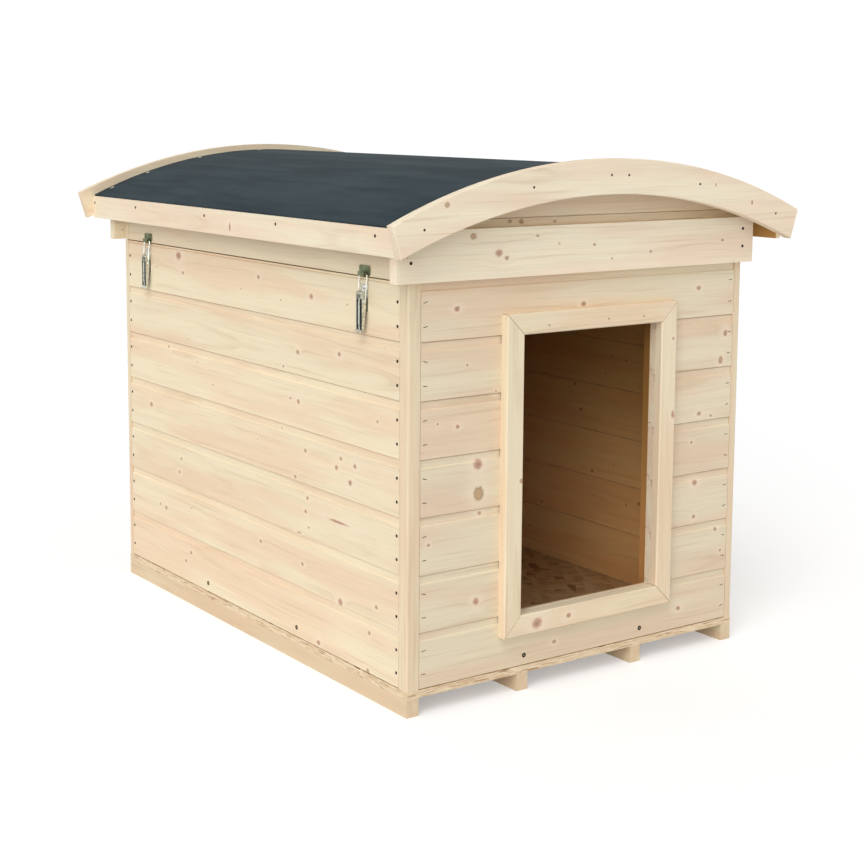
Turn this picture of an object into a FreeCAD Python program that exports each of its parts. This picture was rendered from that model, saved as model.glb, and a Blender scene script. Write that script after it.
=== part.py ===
import FreeCAD, Part
import math
import os

from FreeCAD import Vector

# Dog house with a hinged barrel roof. Millimetres, +Z up, front towards -Y, origin on the
# ground under the middle. The walls are shiplap boards let into rebated corner posts, and the
# roof is one lid: hinged on the right side, held shut by two toggle latches on the left.

# Walls
wall_width = 695.0
wall_depth = 980.0
board_thickness = 14.0
board_cover = 90.0
course_count = 7
strip_height = 13.0        # recessed band along the top of each board
side_top_strip = 4.5       # the same on the side walls' top boards
strip_recess = 2.6
lip_thickness = 6.9        # tongue behind the board above
lip_height = 7.5
board_gap = 1.0
floor_gap = 1.2            # under the lowest boards, which the posts carry
arris = 0.9                # small chamfer along the boards' front edges

# Corner posts
post_size = 36.0
post_round = 3.0
latch_corner_face = 22.0   # visible strip of the front left post
corner_face = 15.0         # visible strip of the other posts

# Base
skid_width = 22.0
skid_height = 29.0
inner_skid_offset = 122.0
floor_thickness = 12.0

# Doorway
door_width = 290.0
door_offset = 7.0
door_first_course = 1
door_last_course = 5
trim_width = 34.0
trim_thickness = 16.0
trim_bevel = 2.0
mitre_gap = 1.2            # open joint between the level and the upright trims
jamb_width = 34.0
jamb_thickness = 22.0
jamb_setback = 8.0

# Roof
lid_gap = 1.5
roof_rise = 159.0          # underside of the deck above the lid's lower edge, at the crown
deck_radius = 918.5
deck_thickness = 9.0
felt_thickness = 2.5
gable_overhang = 62.0
arch_radius = 1000.0
arch_depth = 56.0
arch_thickness = 16.0
arch_above_felt = 10.5
arch_bevel = 1.2
eave_overhang = 70.5
eave_cut_slant = 15.5
fascia_reach = 44.0
fascia_thickness = 10.0
fascia_height = 41.0
felt_edge_setback = 2.5
skirt_height = 77.0
skirt_thickness = 18.0
back_skirt_left_reach = 22.0
skirt_hinge_reach = 8.0    # on the hinge side, short enough for the lid to swing
rib_thickness = 18.0
rib_height = 83.5

# Toggle latches, on the left wall
front_latch_inset = 118.0
back_latch_inset = 106.0
latch_sheet = 1.5
lever_sheet = 1.2
lever_width = 18.0
lever_head_reach = 3.5     # rounded end of the cheeks, round the pivot
lever_face_drop = 7.0      # from the pivot to the top of the face plate
lever_taper_drop = 22.0    # from the pivot to where the cheeks start to taper
lever_tip_cheek = 3.0
lever_tip_reach = 3.6
lever_rib_width = 4.8
lever_rib_height = 1.0
lever_rib_bevel = 0.8
lever_rib_foot = 8.0
lever_rib_drop = 5.0
lever_length = 57.0
lever_pivot_out = 7.5
lever_pivot_drop = 25.0    # below the top of the wall
lever_pin_radius = 1.5
bail_arm = 13.0            # from the lever's pivot to the bail's
bail_wire_radius = 1.2
bail_bend = 3.0
bail_leg_play = 0.5
over_centre = 0.3          # how far the bail's pivot lies inside the lever's
wire_sides = 10
eye_play = 0.3
bail_hook_out = 3.5
hook_width = 16.0
hook_reach = 8.8
hook_height = 6.5
keeper_width = 30.0
keeper_height = 16.0
keeper_rise = 1.0          # above the lid's lower edge
base_width = 20.0
base_height = 44.0
base_drop = 10.0           # below the top of the wall
ear_reach = 3.2            # round nose of the base's ears, round the pivot
ear_foot = 6.0             # half the height of an ear where it leaves the plate
ear_play = 0.8
plate_corner = 2.5
screw_hole_radius = 1.8
screw_margin = 5.0         # from the end of a latch plate to its screw
keeper_screw_margin = 3.6  # from the side of a keeper to its screw
running_clearance = 0.05
part_clearance = 0.4

# Butt hinges, on the right wall
hinge_length = 60.0
hinge_leaf = 26.0
hinge_sheet = 1.5
hinge_screw_margin = 9.0
hinge_screw_drop = 15.6    # from the barrel to the screws
hinge_pin_head = 1.0
hinge_middle_knuckle = 20.0
hinge_pin_radius = 2.0
hinge_knuckle_radius = 3.9
knuckle_gap = 0.3

# Levels and faces worked out from the sizes above
half_width = wall_width / 2
half_depth = wall_depth / 2
floor_top = skid_height + floor_thickness
wall_top = floor_top + course_count * board_cover
lid_bottom = wall_top + lid_gap
deck_crown = lid_bottom + roof_rise
deck_top_radius = deck_radius + deck_thickness
deck_top_crown = deck_crown + deck_thickness
felt_crown = deck_top_crown + felt_thickness
arch_crown = felt_crown + arch_above_felt
arch_face = half_depth + gable_overhang
arch_back = arch_face - arch_thickness
fascia_outer = half_width + fascia_reach
fascia_inner = fascia_outer - fascia_thickness
door_left = door_offset - door_width / 2
door_right = door_offset + door_width / 2
door_bottom = floor_top + door_first_course * board_cover
door_top = floor_top + door_last_course * board_cover + board_cover
latch_places = [front_latch_inset - half_depth, half_depth - back_latch_inset]
lever_pivot_z = wall_top - lever_pivot_drop
lever_face = lever_pivot_out + lever_head_reach
bail_pivot_z = lever_pivot_z - bail_arm
bail_pivot_out = lever_pivot_out - over_centre
bail_leg_out = lever_width / 2 + bail_wire_radius + bail_leg_play
keeper_bottom = lid_bottom + keeper_rise
bail_top_z = keeper_bottom + lever_sheet + part_clearance + bail_wire_radius
hinge_axis_out = hinge_knuckle_radius + part_clearance
hinge_axis_z = wall_top + lid_gap / 2

UP = Vector(0, 0, 1)
# For each wall: the way its boards face, the way they run, and the distance to their outer face
WALLS = {
    "left": (Vector(-1, 0, 0), Vector(0, 1, 0), half_width),
    "right": (Vector(1, 0, 0), Vector(0, 1, 0), half_width),
    "front": (Vector(0, -1, 0), Vector(1, 0, 0), half_depth),
    "back": (Vector(0, 1, 0), Vector(1, 0, 0), half_depth),
}
# Visible strip of each corner post
CORNERS = {
    "front_left": (-1, -1, latch_corner_face),
    "front_right": (1, -1, corner_face),
    "back_left": (-1, 1, corner_face),
    "back_right": (1, 1, corner_face),
}
# Each wall's run of boards, from one corner post's strip to the other's
RUNS = {
    "left": (latch_corner_face - half_depth, half_depth - corner_face),
    "right": (corner_face - half_depth, half_depth - corner_face),
    "front": (latch_corner_face - half_width, half_width - corner_face),
    "back": (corner_face - half_width, half_width - corner_face),
}


def save(name, *solids):
    shape = solids[0] if len(solids) == 1 else Part.makeCompound(list(solids))
    shape.exportStep("parts/" + name + ".step")


def box(x0, x1, y0, y1, z0, z1):
    return Part.makeBox(x1 - x0, y1 - y0, z1 - z0, Vector(x0, y0, z0))


def polygon(points):
    return Part.Face(Part.makePolygon(points + points[:1]))


def cylinder_y(radius, x, z, y0, y1):
    return Part.makeCylinder(radius, y1 - y0, Vector(x, y0, z), Vector(0, 1, 0))


def below_arc(radius, crown):
    """Everything that lies under a barrel of this radius, for trimming what meets the deck."""
    return cylinder_y(radius, 0, crown - radius, -arch_face, arch_face)


def arc_height(radius, crown, x):
    return crown - radius + math.sqrt(radius ** 2 - x ** 2)


def arc_edge(radius, crown, x):
    ends = [Vector(side * x, 0, arc_height(radius, crown, x)) for side in (-1, 1)]
    return Part.Arc(ends[0], Vector(0, 0, crown), ends[1]).toShape()


def arched_panel(lower, upper, y0, y1):
    """A curved panel between two (radius, crown, half span) arcs, from y0 to y1."""
    low = arc_edge(*lower)
    high = arc_edge(*upper)
    left = Part.makeLine(low.Vertexes[0].Point, high.Vertexes[0].Point)
    right = Part.makeLine(high.Vertexes[1].Point, low.Vertexes[1].Point)
    face = Part.Face(Part.Wire([low, right, high, left]))
    face.translate(Vector(0, y0, 0))
    return face.extrude(Vector(0, y1 - y0, 0))


def round_edges(solid, radius, keep):
    return solid.makeFillet(radius, [edge for edge in solid.Edges if keep(edge)])


def bevel_edges(solid, size, keep):
    return solid.makeChamfer(size, [edge for edge in solid.Edges if keep(edge)])


def in_plane(y):
    """Picks the edges that lie in the plane of this y."""
    return lambda edge: all(abs(vertex.Y - y) < 0.01 for vertex in edge.Vertexes)


def square_in_plane(y):
    """Picks the level and upright edges in the plane of this y, and leaves mitred ones sharp."""
    def keep(edge):
        run = edge.tangentAt(edge.FirstParameter)
        return in_plane(y)(edge) and max(abs(run.x), abs(run.z)) > 0.99
    return keep


# ---- walls ----

def board_section(bottom, rebate, lip, strip, foot_gap):
    """Section of a shiplap board as (out, up) points; its outer face is at out = 0."""
    foot = bottom + foot_gap
    shoulder = bottom + board_cover - board_gap
    strip_foot = bottom + board_cover - strip
    back = -board_thickness
    lip_face = back + lip_thickness
    points = [(-arris, foot), (0, foot + arris), (0, strip_foot - arris)]
    points += [(-arris, strip_foot), (-strip_recess, strip_foot + arris), (-strip_recess, shoulder)]
    if lip:
        points += [(lip_face, shoulder), (lip_face, shoulder + lip_height), (back, shoulder + lip_height)]
    else:
        points += [(back, shoulder)]
    if rebate:
        top = bottom + lip_height
        points += [(back, top), (lip_face + board_gap, top), (lip_face + board_gap, foot)]
    else:
        points += [(back, foot)]
    return points


def board(wall, bottom, rebate=True, lip=True, strip=strip_height, foot_gap=0.0):
    out, along, reach = WALLS[wall]
    start, end = RUNS[wall]
    start += board_gap
    end -= board_gap
    section = board_section(bottom, rebate, lip, strip, foot_gap)
    corners = [out * (reach + n) + along * start + UP * z for n, z in section]
    return polygon(corners).extrude(along * (end - start))


def course(wall, number):
    first = number == 0
    last = number == course_count - 1
    strip = side_top_strip if last and wall in ("left", "right") else strip_height
    return board(wall, floor_top + number * board_cover, rebate=not first, lip=not last,
                 strip=strip, foot_gap=floor_gap if first else 0.0)


def corner_post(side_x, side_y, face, bottom, top):
    """A square post, rebated on two sides so that the boards lie flush with its outer strips."""
    t = board_thickness
    s = post_size
    outline = [(0, 0), (face, 0), (face, t), (s, t), (s, s), (t, s), (t, face), (0, face)]
    corners = [Vector(side_x * (half_width - a), side_y * (half_depth - b), bottom) for a, b in outline]
    post = polygon(corners).extrude(UP * (top - bottom))
    corner = corners[0]
    return round_edges(post, post_round, lambda edge: all(
        abs(v.X - corner.x) < 0.01 and abs(v.Y - corner.y) < 0.01 for v in edge.Vertexes))


def make_walls():
    for name, (side_x, side_y, face) in CORNERS.items():
        save("corner_post_" + name, corner_post(side_x, side_y, face, floor_top, wall_top))
    for wall in ("left", "right"):
        for number in range(course_count):
            save("%s_board_%d" % (wall, number + 1), course(wall, number))
    save("back_wall_boards", *[course("back", number) for number in range(course_count)])


def make_front():
    """Whole boards below and above the doorway, and a stub each side of it for the others."""
    doorway = box(door_left, door_right, -half_depth, board_thickness - half_depth,
                  door_bottom, door_top + lip_height)
    stubs = {"left": [], "right": []}
    for number in range(course_count):
        plank = course("front", number)
        if number <= door_last_course:
            plank = plank.cut(doorway)
        if len(plank.Solids) == 2:
            pair = sorted(plank.Solids, key=lambda solid: solid.CenterOfMass.x)
            stubs["left"].append(pair[0])
            stubs["right"].append(pair[1])
        else:
            save("front_board_%d" % (number + 1), plank.Solids[0])
    for side, boards in stubs.items():
        save("front_boards_%s_of_door" % side, *boards)


def make_door_frame():
    inner = (door_left, door_right, door_bottom, door_top)
    in_corners = [(inner[0], inner[2]), (inner[1], inner[2]), (inner[1], inner[3]), (inner[0], inner[3])]
    outward = [(-1, -1), (1, -1), (1, 1), (-1, 1)]
    out_corners = [(x + side_x * trim_width, z + side_z * trim_width)
                   for (x, z), (side_x, side_z) in zip(in_corners, outward)]
    face_y = -half_depth - trim_thickness
    middle = (door_bottom + door_top) / 2
    for index, name in enumerate(("bottom", "right", "top", "left")):
        other = (index + 1) % 4
        outline = [out_corners[index], out_corners[other], in_corners[other], in_corners[index]]
        if name in ("left", "right"):
            outline = [(x, z + mitre_gap if z < middle else z - mitre_gap) for x, z in outline]
        mitred = polygon([Vector(x, face_y, z) for x, z in outline]).extrude(Vector(0, trim_thickness, 0))
        save("door_trim_" + name, bevel_edges(mitred, trim_bevel, square_in_plane(face_y)))
    jamb_y = board_thickness - half_depth
    jamb_edges = {"left": door_left - jamb_setback - jamb_width, "right": door_right + jamb_setback}
    for side, edge_x in jamb_edges.items():
        save("door_jamb_" + side, box(edge_x, edge_x + jamb_width, jamb_y, jamb_y + jamb_thickness,
                                      floor_top, wall_top))


def make_base():
    outer = half_width - skid_width / 2
    half_skid = skid_width / 2
    places = {"left": -outer, "inner_left": -inner_skid_offset,
              "inner_right": inner_skid_offset, "right": outer}
    for name, x in places.items():
        save("skid_" + name, box(x - half_skid, x + half_skid, -half_depth, half_depth, 0, skid_height))
    save("floor_panel", box(-half_width, half_width, -half_depth, half_depth, skid_height, floor_top))


# ---- roof ----

def make_lid_frame():
    under_deck = below_arc(deck_radius, deck_crown)
    blocks = [corner_post(*corner, lid_bottom, deck_crown).common(under_deck) for corner in CORNERS.values()]
    save("lid_corner_blocks", *[block.Solids[0] for block in blocks])
    for wall in ("left", "right"):
        out, along, reach = WALLS[wall]
        start, end = RUNS[wall]
        near, far = sorted((out.x * reach, out.x * (reach - board_thickness)))
        rail = box(near, far, start + board_gap, end - board_gap, lid_bottom, deck_crown)
        save("lid_rail_" + wall, rail.common(under_deck).Solids[0])
    for wall in ("front", "back"):
        lower = board(wall, lid_bottom, rebate=False)
        upper = board(wall, lid_bottom + board_cover).common(under_deck)
        save("gable_boards_" + wall, lower.common(under_deck).Solids[0], upper.Solids[0])
    inner = half_width - board_thickness
    rib_bottom = deck_crown - rib_height
    ribs = []
    for y in (-wall_depth / 6, wall_depth / 6):
        rib = box(-inner, inner, y - rib_thickness / 2, y + rib_thickness / 2, rib_bottom, deck_crown)
        ribs.append(rib.common(under_deck).Solids[0])
    save("roof_ribs", *ribs)


def make_skirts():
    """Boards over the lower edge of each gable. The front one runs on to the eave board."""
    under_deck = below_arc(deck_radius, deck_crown)
    starts = {"front": -fascia_inner, "back": -half_width - back_skirt_left_reach}
    for wall, start in starts.items():
        out, along, reach = WALLS[wall]
        near, far = sorted((out.y * reach, out.y * (reach + skirt_thickness)))
        skirt = box(start, half_width + skirt_hinge_reach, near, far, lid_bottom, lid_bottom + skirt_height)
        save("skirt_" + wall, skirt.common(under_deck).Solids[0])


def make_roof():
    top_span = half_width + eave_overhang
    lower = (arch_radius, arch_crown - arch_depth, top_span - eave_cut_slant)
    upper = (arch_radius, arch_crown, top_span)
    for name, face_y, back_y in (("front", -arch_face, -arch_back), ("back", arch_face, arch_back)):
        arch = arched_panel(lower, upper, min(face_y, back_y), max(face_y, back_y))
        save("arch_board_" + name, bevel_edges(arch, arch_bevel, in_plane(face_y)))
    save("roof_deck", arched_panel((deck_radius, deck_crown, fascia_inner),
                                   (deck_top_radius, deck_top_crown, fascia_inner), -arch_back, arch_back))
    felt_span = fascia_outer - felt_edge_setback
    felt_radius = deck_top_radius + felt_thickness
    save("roof_felt", arched_panel((deck_top_radius, deck_top_crown, felt_span),
                                   (felt_radius, felt_crown, felt_span), -arch_back, arch_back))
    fascia_bottom = arc_height(deck_top_radius, deck_top_crown, fascia_outer) - fascia_height
    on_deck = below_arc(deck_top_radius, deck_top_crown)
    for name, side in (("left", -1), ("right", 1)):
        near, far = sorted((side * fascia_inner, side * fascia_outer))
        fascia = box(near, far, -arch_back, arch_back, fascia_bottom, deck_top_crown)
        save("fascia_" + name, fascia.common(on_deck).Solids[0])


# ---- toggle latches, drawn with the wall's face at x = 0 and out along +X, middle at y = 0 ----

def clipped_plate(width, bottom, top, thickness):
    plate = box(0, thickness, -width / 2, width / 2, bottom, top)
    return bevel_edges(plate, plate_corner, lambda edge: abs(edge.tangentAt(edge.FirstParameter).x) > 0.99)


def screw_hole(y, z):
    start = Vector(-latch_sheet / 2, y, z)
    return Part.makeCylinder(screw_hole_radius, 2 * latch_sheet, start, Vector(1, 0, 0))


def side_plate(outline, y0, y1):
    """A sheet standing on edge, from (out, up) points or edges that are already closed."""
    return outline.extrude(Vector(0, y1 - y0, 0)).translated(Vector(0, y0, 0))


def latch_base():
    top = wall_top - base_drop
    plate = clipped_plate(base_width, top - base_height, top, latch_sheet)
    low = Vector(lever_pivot_out, 0, lever_pivot_z - ear_reach)
    high = Vector(lever_pivot_out, 0, lever_pivot_z + ear_reach)
    nose = Part.Arc(low, Vector(lever_pivot_out + ear_reach, 0, lever_pivot_z), high).toShape()
    foot_low = Vector(latch_sheet / 2, 0, lever_pivot_z - ear_foot)
    foot_high = Vector(latch_sheet / 2, 0, lever_pivot_z + ear_foot)
    ear = Part.Face(Part.Wire([nose, Part.makeLine(high, foot_high), Part.makeLine(foot_high, foot_low),
                               Part.makeLine(foot_low, low)]))
    ear_outer = lever_width / 2 - lever_sheet - ear_play
    ears = [side_plate(ear, -ear_outer, latch_sheet - ear_outer),
            side_plate(ear, ear_outer - latch_sheet, ear_outer)]
    base = plate.fuse(ears)
    base = base.cut(lever_pin(running_clearance))
    for z in (top - screw_margin, top - base_height + screw_margin):
        base = base.cut(screw_hole(0, z))
    return base.removeSplitter().Solids[0]


def lever_pin(extra=0.0):
    reach = lever_width / 2
    return cylinder_y(lever_pin_radius + extra, lever_pivot_out, lever_pivot_z, -reach, reach)


def lever():
    """A folded channel: two cheeks round the pivot, a face plate with a pressed rib, and a finger tip."""
    inner_edge = lever_pivot_out - lever_head_reach
    bottom = lever_pivot_z - lever_length
    top_out = Vector(lever_face, 0, lever_pivot_z)
    top_in = Vector(inner_edge, 0, lever_pivot_z)
    crown = Vector(lever_pivot_out, 0, lever_pivot_z + lever_head_reach)
    path = [top_in, Vector(inner_edge, 0, lever_pivot_z - lever_taper_drop),
            Vector(lever_face - lever_tip_cheek, 0, bottom), Vector(lever_face, 0, bottom), top_out]
    edges = [Part.makeLine(start, end) for start, end in zip(path, path[1:])]
    edges.append(Part.Arc(top_out, crown, top_in).toShape())
    cheek = Part.Face(Part.Wire(edges))
    side = lever_width / 2
    cheeks = [side_plate(cheek, -side, lever_sheet - side), side_plate(cheek, side - lever_sheet, side)]

    face_back = lever_face - lever_sheet
    face_top = lever_pivot_z - lever_face_drop
    face = box(face_back, lever_face, -side, side, bottom, face_top)
    tip_end = lever_face + lever_tip_reach
    tip = polygon([Vector(face_back, 0, bottom), Vector(tip_end - lever_sheet, 0, bottom - lever_tip_reach),
                   Vector(tip_end, 0, bottom - lever_tip_reach + lever_sheet),
                   Vector(lever_face, 0, bottom + lever_sheet)])
    tip = side_plate(tip, -side, side)

    rib_face = lever_face + lever_rib_height
    rib = box(face_back, rib_face, -lever_rib_width / 2, lever_rib_width / 2,
              bottom + lever_rib_foot, face_top - lever_rib_drop)
    rib = bevel_edges(rib, lever_rib_bevel, lambda edge: all(v.X > rib_face - 0.01 for v in edge.Vertexes))
    body = face.fuse(cheeks + [tip, rib])
    body = body.cut(lever_pin(running_clearance))
    eye = cylinder_y(bail_wire_radius + running_clearance, bail_pivot_out, bail_pivot_z, -side, side)
    return body.cut(eye).removeSplitter().Solids[0]


def bail():
    """A bent wire loop: its ends turn in through the lever's cheeks, its cross bar lies in the hook."""
    rise = bail_top_z - bail_pivot_z
    lean = bail_hook_out - bail_pivot_out
    length = math.hypot(rise, lean)
    leg = bail_leg_out
    end = lever_width / 2 - lever_sheet - eye_play
    middle = bail_bend * (1 - math.cos(math.pi / 4))

    def half_loop(side):
        top = Vector(0, side * (leg - bail_bend), length)
        halfway = Vector(0, side * (leg - middle), length - middle)
        bend_start = Vector(0, side * leg, length - bail_bend)
        corner = Vector(0, side * leg, 0)
        return [Part.makeLine(Vector(0, side * end, 0), corner), Part.makeLine(corner, bend_start),
                Part.Arc(bend_start, halfway, top).toShape()]

    near = half_loop(-1)
    far = half_loop(1)
    bar = Part.makeLine(near[2].Vertexes[1].Point, far[2].Vertexes[1].Point)
    path = Part.Wire(Part.sortEdges(near + [bar] + far)[0])
    turns = [math.tau * index / wire_sides for index in range(wire_sides)]
    corners = [Vector(math.cos(turn), 0, math.sin(turn)) * bail_wire_radius for turn in turns]
    ring = Part.makePolygon(corners + corners[:1])
    ring.translate(Vector(0, -end, 0))
    sweep = Part.BRepOffsetAPI.MakePipeShell(path)
    sweep.setTransitionMode(1)
    sweep.add(ring)
    sweep.build()
    sweep.makeSolid()
    wire = sweep.shape()
    wire.rotate(Vector(0, 0, 0), Vector(0, 1, 0), math.degrees(math.atan2(lean, rise)))
    wire.translate(Vector(bail_pivot_out, 0, bail_pivot_z))
    return wire


def keeper():
    plate = clipped_plate(keeper_width, keeper_bottom, keeper_bottom + keeper_height, latch_sheet)
    half_hook = hook_width / 2
    shelf_top = keeper_bottom + lever_sheet
    shelf = box(latch_sheet / 2, hook_reach, -half_hook, half_hook, keeper_bottom, shelf_top)
    lip = box(hook_reach - lever_sheet, hook_reach, -half_hook, half_hook,
              keeper_bottom, keeper_bottom + hook_height)
    body = plate.fuse([shelf, lip])
    for side in (-1, 1):
        hole_y = side * (keeper_width / 2 - keeper_screw_margin)
        body = body.cut(screw_hole(hole_y, keeper_bottom + keeper_height - screw_margin))
    return body.removeSplitter().Solids[0]


def on_left_wall(shape, y):
    placed = shape.copy()
    placed.rotate(Vector(0, 0, 0), UP, 180)
    placed.translate(Vector(-half_width, y, 0))
    return placed


def make_latches():
    save("latch_bases", *[on_left_wall(latch_base(), y) for y in latch_places])
    save("latch_keepers", *[on_left_wall(keeper(), y) for y in latch_places])
    save("latch_pins", *[on_left_wall(lever_pin(), y) for y in latch_places])
    for name, y in zip(("front", "back"), latch_places):
        save("latch_lever_" + name, on_left_wall(lever(), y))
        save("latch_bail_" + name, on_left_wall(bail(), y))


# ---- hinges, drawn with the wall's face at x = 0 and out along +X, middle at y = 0 ----

def knuckle(y0, y1):
    ring = cylinder_y(hinge_knuckle_radius, hinge_axis_out, hinge_axis_z, y0, y1)
    return ring.cut(hinge_pin(running_clearance))


def hinge_pin(extra=0.0):
    reach = hinge_length / 2 + hinge_pin_head
    return cylinder_y(hinge_pin_radius + extra, hinge_axis_out, hinge_axis_z, -reach, reach)


def hinge_leaf_plate(direction, segments):
    """A leaf that runs down (-1) or up (+1) from the barrel, with its share of the knuckles."""
    near = hinge_axis_z + direction * (hinge_knuckle_radius + part_clearance)
    far = hinge_axis_z + direction * (hinge_knuckle_radius + hinge_leaf)
    leaf = box(0, hinge_sheet, -hinge_length / 2, hinge_length / 2, min(near, far), max(near, far))
    tabs = []
    for y0, y1 in segments:
        tabs.append(box(0, hinge_sheet, y0, y1, min(near, hinge_axis_z), max(near, hinge_axis_z)))
        tabs.append(knuckle(y0, y1))
    leaf = leaf.fuse(tabs)
    hole_z = hinge_axis_z + direction * (hinge_knuckle_radius + hinge_screw_drop)
    screw_y = hinge_length / 2 - hinge_screw_margin
    for y in (-screw_y, screw_y):
        leaf = leaf.cut(screw_hole(y, hole_z))
    return leaf.removeSplitter().Solids[0]


def on_right_wall(shape, y):
    return shape.translated(Vector(half_width, y, 0))


def make_hinges():
    middle = hinge_middle_knuckle / 2
    end = hinge_length / 2
    wall_leaf = hinge_leaf_plate(-1, [(-end, -middle - knuckle_gap), (middle + knuckle_gap, end)])
    lid_leaf = hinge_leaf_plate(1, [(-middle, middle)])
    save("hinge_leaves_wall", *[on_right_wall(wall_leaf, y) for y in latch_places])
    save("hinge_leaves_lid", *[on_right_wall(lid_leaf, y) for y in latch_places])
    save("hinge_pins", *[on_right_wall(hinge_pin(), y) for y in latch_places])


def main():
    os.makedirs("parts", exist_ok=True)
    make_base()
    make_walls()
    make_front()
    make_door_frame()
    make_lid_frame()
    make_skirts()
    make_roof()
    make_latches()
    make_hinges()


main()
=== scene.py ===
import math

import bmesh
import bpy
from mathutils import Matrix, Vector


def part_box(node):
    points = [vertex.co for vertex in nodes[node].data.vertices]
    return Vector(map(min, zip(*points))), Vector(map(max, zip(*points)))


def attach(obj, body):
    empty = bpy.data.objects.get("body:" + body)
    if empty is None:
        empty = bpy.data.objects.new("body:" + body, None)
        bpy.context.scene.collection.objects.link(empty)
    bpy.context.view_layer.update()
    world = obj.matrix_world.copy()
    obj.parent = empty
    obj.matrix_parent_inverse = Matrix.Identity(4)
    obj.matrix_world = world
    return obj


# Looks for the timber dog house: spruce, strand board, roofing felt and zinc-plated steel in
# node materials, and the nails and screws as small meshes. Metres, +Z up, front towards -Y.

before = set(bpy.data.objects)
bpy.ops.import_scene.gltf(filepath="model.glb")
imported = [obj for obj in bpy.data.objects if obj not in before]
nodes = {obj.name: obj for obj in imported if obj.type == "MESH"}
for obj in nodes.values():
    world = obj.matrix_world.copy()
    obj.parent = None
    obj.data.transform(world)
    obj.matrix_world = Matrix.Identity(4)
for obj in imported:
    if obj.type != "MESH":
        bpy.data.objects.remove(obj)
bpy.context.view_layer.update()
MM = 0.001

# ---- places, read from the frame ----

course_count = sum(name.startswith("left_board_") for name in nodes)
floor_bottom, floor_top = [corner.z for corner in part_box("floor_panel")]
wall_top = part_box("left_board_%d" % course_count)[1].z
course_height = (wall_top - floor_top) / course_count
lid_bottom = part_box("lid_rail_left")[0].z
wall_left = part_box("left_board_1")[0].x
wall_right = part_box("right_board_1")[1].x
wall_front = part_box("front_board_1")[0].y
wall_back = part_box("back_wall_boards")[1].y
# The latches' distances along the left wall, and the hinges' along the right one
latch_places = [sum(corner.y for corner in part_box("latch_lever_" + end)) / 2 for end in ("front", "back")]


# ---- node materials ----

class Recipe:
    """One material's node tree. A value is a number or another node's output."""

    def __init__(self, name):
        self.material = bpy.data.materials.new(name)
        self.material.use_nodes = True
        self.tree = self.material.node_tree
        self.tree.nodes.clear()

    def add(self, kind, inputs=None, **settings):
        node = self.tree.nodes.new("ShaderNode" + kind)
        for key, value in settings.items():
            setattr(node, key, value)
        for key, value in (inputs or {}).items():
            if isinstance(value, bpy.types.NodeSocket):
                self.tree.links.new(value, node.inputs[key])
            else:
                node.inputs[key].default_value = value
        return node

    def math(self, operation, a, b=0.0, c=0.0):
        return self.add("Math", {0: a, 1: b, 2: c}, operation=operation).outputs[0]

    def vector(self, x=0.0, y=0.0, z=0.0):
        return self.add("CombineXYZ", {0: x, 1: y, 2: z}).outputs[0]

    def stretch(self, vector, scale, offset=(0, 0, 0)):
        inputs = {0: vector, 1: scale, 2: offset}
        return self.add("VectorMath", inputs, operation="MULTIPLY_ADD").outputs[0]

    def noise(self, vector, detail=2.0, roughness=0.5):
        inputs = {"Vector": vector, "Scale": 1.0, "Detail": detail, "Roughness": roughness}
        return self.add("TexNoise", inputs).outputs["Fac"]

    def smooth_step(self, value, low, high, to_low=0.0, to_high=1.0):
        inputs = {"Value": value, "From Min": low, "From Max": high,
                  "To Min": to_low, "To Max": to_high}
        return self.add("MapRange", inputs, interpolation_type="SMOOTHSTEP").outputs[0]

    def mix(self, factor, a, b, blend="MIX"):
        node = self.add("Mix", data_type="RGBA", blend_type=blend)
        for key, value in ((0, factor), (6, a), (7, b)):
            if isinstance(value, bpy.types.NodeSocket):
                self.tree.links.new(value, node.inputs[key])
            else:
                node.inputs[key].default_value = (*value, 1.0) if key else value
        return node.outputs[2]

    def ramp(self, value, stops):
        """Colours along a value, from (position, red, green, blue) or (position, grey) stops."""
        node = self.add("ValToRGB", {0: value})
        elements = node.color_ramp.elements
        while len(elements) < len(stops):
            elements.new(1.0)
        for element, (position, *colour) in zip(elements, stops):
            element.position = position
            element.color = (*(colour * 3 if len(colour) == 1 else colour), 1.0)
        return node.outputs[0]

    def shaded(self, colour, value, amount):
        """The colour darkened and lightened by this share in all, as the value goes from 0 to 1."""
        shade = self.math("MULTIPLY_ADD", value, amount, 1.0 - amount / 2)
        return self.mix(1.0, colour, self.vector(shade, shade, shade), "MULTIPLY")

    def bump(self, height, strength, distance):
        inputs = {"Height": height, "Strength": strength, "Distance": distance}
        return self.add("Bump", inputs).outputs[0]

    def finish(self, colour, normal, roughness=0.6, metallic=0.0, specular=0.3):
        inputs = {"Base Color": colour, "Normal": normal, "Roughness": roughness,
                  "Metallic": metallic, "Specular IOR Level": specular}
        shader = self.add("BsdfPrincipled", inputs)
        output = self.add("OutputMaterial")
        self.tree.links.new(shader.outputs[0], output.inputs[0])
        return self.material


def paint(node_names, material):
    for name in node_names:
        mesh = nodes[name].data
        mesh.materials.clear()
        mesh.materials.append(material)


# ---- timber ----

# Which object axis runs along the grain, across the board's face and into its thickness
SIDE_GRAIN = ("Y", "Z", "X")
FACE_GRAIN = ("X", "Z", "Y")
POST_GRAIN = ("Z", "X", "Y")

# What lies nearer to the middle than this, along X and along Y, looks inwards and gets painted
# shade. The depths are a little less than the boards' thickness.
WALL_DEPTH = 13 * MM
EAVE_DEPTH = 9 * MM
ANYWHERE = 1.0
WALL_INSIDE = (-wall_left - WALL_DEPTH, -wall_front - WALL_DEPTH, 0)
EAVE_SHADE_INSIDE = (-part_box("fascia_left")[0].x - EAVE_DEPTH, ANYWHERE, 0)

PLAIN = (1.0, 1.0, 1.0)
PALE_YELLOW = (0.890, 0.770, 0.550)
PALE_PINK = (0.870, 0.675, 0.475)
LATEWOOD = (0.640, 0.440, 0.260)
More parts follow.
